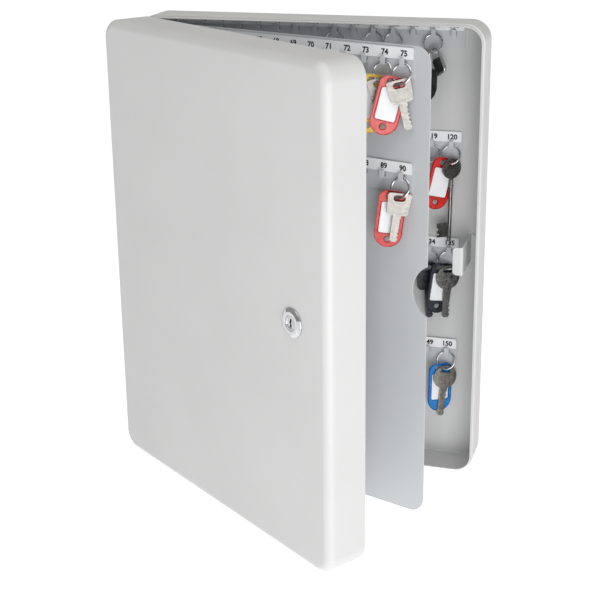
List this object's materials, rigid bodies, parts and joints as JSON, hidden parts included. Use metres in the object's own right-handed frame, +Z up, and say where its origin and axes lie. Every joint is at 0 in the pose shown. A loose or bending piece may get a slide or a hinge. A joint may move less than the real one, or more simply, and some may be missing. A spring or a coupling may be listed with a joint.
{
  "type": "key cabinet",
  "caption": "Wall key cabinet of pressed steel with a deep hinged door, a cam lock, an inner key leaf and numbered hook rows, shown open with tagged keys hung",
  "frame": {"origin": "centre of the case's rear face, on the wall", "axes": "+X right seen from the front, +Y into the wall, +Z up; the front faces -Y"},
  "size_m": [0.3922, 0.2859, 0.488],
  "materials": {
    "powder_coat": "light grey powder coat, fine texture, satin",
    "powder_coat_inside": "light grey powder coat, satin",
    "keeper_coat": "off-white powder coat",
    "number_strip": "white printed strip",
    "zinc_plate": "dull zinc plate",
    "chrome": "polished chrome plate",
    "lock_plug": "satin chrome plate",
    "ring_steel": "nickel-plated spring wire",
    "bright_key": "bright nickel plate",
    "nickel_key": "worn nickel plate",
    "dark_key": "dull worn nickel",
    "moulded_head_key": "black moulded head with a nickel blade",
    "strap": "black",
    "red_tag": "glossy, slightly translucent",
    "yellow_tag": "glossy, slightly translucent",
    "blue_tag": "glossy, slightly translucent",
    "black_tag": "glossy"
  },
  "bodies": {
    "case": {"case_pan": "powder_coat", "case_row_1_hooks": "powder_coat_inside", "case_row_1_number_strip": "number_strip", "case_row_2_hooks": "powder_coat_inside", "case_row_2_number_strip": "number_strip", "case_row_3_hooks": "powder_coat_inside", "case_row_3_number_strip": "number_strip", "case_row_4_hooks": "powder_coat_inside", "case_row_4_number_strip": "number_strip", "lock_keeper": "keeper_coat", "hinge_upper_case_plate": "zinc_plate", "hinge_upper_pin": "zinc_plate", "hinge_lower_case_plate": "zinc_plate", "hinge_lower_pin": "zinc_plate", "leaf_pivot_bracket_upper": "zinc_plate", "leaf_pivot_pin_upper": "zinc_plate", "leaf_pivot_bracket_lower": "zinc_plate", "leaf_pivot_pin_lower": "zinc_plate"},
    "door": {"door_pan": "powder_coat", "door_inside_hooks": "powder_coat_inside", "hinge_upper_door_plate": "zinc_plate", "hinge_lower_door_plate": "zinc_plate", "lock_body": "chrome", "lock_nut": "zinc_plate"},
    "lock_cylinder": {"lock_plug": "lock_plug", "lock_cam": "zinc_plate", "cam_screw": "zinc_plate"},
    "leaf": {"key_leaf": "powder_coat_inside", "leaf_row_1_hooks": "powder_coat_inside", "leaf_row_1_number_strip": "number_strip", "leaf_row_2_hooks": "powder_coat_inside", "leaf_row_2_number_strip": "number_strip", "leaf_rear_hooks": "powder_coat_inside"},
    "set_074": {"set_074_ring": "ring_steel", "set_074_tag": "yellow_tag", "set_074_key": "bright_key"},
    "set_075": {"set_075_ring": "ring_steel", "set_075_tag": "red_tag", "set_075_key": "bright_key"},
    "set_090": {"set_090_ring": "ring_steel", "set_090_tag": "red_tag", "set_090_key": "bright_key"},
    "set_099": {"set_099_ring": "ring_steel"},
    "set_101": {"set_101_ring": "ring_steel"},
    "set_102": {"set_102_ring": "ring_steel"},
    "set_104": {"set_104_ring": "ring_steel", "set_104_frame": "bright_key", "set_104_strap": "strap"},
    "set_119": {"set_119_ring": "ring_steel"},
    "set_120": {"set_120_ring": "ring_steel", "set_120_tag": "red_tag", "set_120_key": "dark_key"},
    "set_134": {"set_134_ring": "ring_steel", "set_134_key": "moulded_head_key"},
    "set_135": {"set_135_ring": "ring_steel", "set_135_tag": "black_tag", "set_135_key": "dark_key"},
    "set_150": {"set_150_ring": "ring_steel", "set_150_tag": "blue_tag", "set_150_key": "nickel_key"}
  },
  "joints": [
    {"name": "door_hinge", "type": "hinge", "parent": "case", "child": "door", "pos_m": [-0.1857, -0.0402, 0], "axis": [0, 0, -1], "range_deg": [-35, 80]},
    {"name": "leaf_hinge", "type": "hinge", "parent": "case", "child": "leaf", "pos_m": [-0.173, -0.0425, 0], "axis": [0, 0, -1], "range_deg": [-18.75, 42.8]},
    {"name": "lock_turn", "type": "hinge", "parent": "door", "child": "lock_cylinder", "pos_m": [0.05081, -0.2605, 0], "axis": [0.5736, 0.8192, 0], "range_deg": [0, 90]},
    {"name": "set_074_swing", "type": "hinge", "parent": "leaf", "child": "set_074", "pos_m": [0.10612, -0.1411, 0.2213], "axis": [-0.9472, 0.3206, 0], "range_deg": [0, 6]},
    {"name": "set_075_swing", "type": "hinge", "parent": "leaf", "child": "set_075", "pos_m": [0.12601, -0.14783, 0.2213], "axis": [-0.9472, 0.3206, 0], "range_deg": [0, 6]},
    {"name": "set_090_swing", "type": "hinge", "parent": "leaf", "child": "set_090", "pos_m": [0.12601, -0.14783, 0.1123], "axis": [-0.9472, 0.3206, 0], "range_deg": [0, 6]},
    {"name": "set_099_swing", "type": "hinge", "parent": "case", "child": "set_099", "pos_m": [0.021, -0.0043, 0.2278], "axis": [-1, 0, 0], "range_deg": [0, 6]},
    {"name": "set_101_swing", "type": "hinge", "parent": "case", "child": "set_101", "pos_m": [0.063, -0.0043, 0.2278], "axis": [-1, 0, 0], "range_deg": [0, 6]},
    {"name": "set_102_swing", "type": "hinge", "parent": "case", "child": "set_102", "pos_m": [0.084, -0.0043, 0.2278], "axis": [-1, 0, 0], "range_deg": [0, 6]},
    {"name": "set_104_swing", "type": "hinge", "parent": "case", "child": "set_104", "pos_m": [0.126, -0.0043, 0.2278], "axis": [-1, 0, 0], "range_deg": [0, 6]},
    {"name": "set_119_swing", "type": "hinge", "parent": "case", "child": "set_119", "pos_m": [0.126, -0.0043, 0.1118], "axis": [-1, 0, 0], "range_deg": [0, 6]},
    {"name": "set_120_swing", "type": "hinge", "parent": "case", "child": "set_120", "pos_m": [0.147, -0.0043, 0.1118], "axis": [-1, 0, 0], "range_deg": [0, 6]},
    {"name": "set_134_swing", "type": "hinge", "parent": "case", "child": "set_134", "pos_m": [0.126, -0.0043, -0.0042], "axis": [-1, 0, 0], "range_deg": [0, 6]},
    {"name": "set_135_swing", "type": "hinge", "parent": "case", "child": "set_135", "pos_m": [0.147, -0.0043, -0.0042], "axis": [-1, 0, 0], "range_deg": [0, 6]},
    {"name": "set_150_swing", "type": "hinge", "parent": "case", "child": "set_150", "pos_m": [0.147, -0.0043, -0.1202], "axis": [-1, 0, 0], "range_deg": [0, 6]}
  ],
  "couplings": [
    {"joint": "leaf_hinge", "follows": "door_hinge", "ratio": 0.53429}
  ]
}
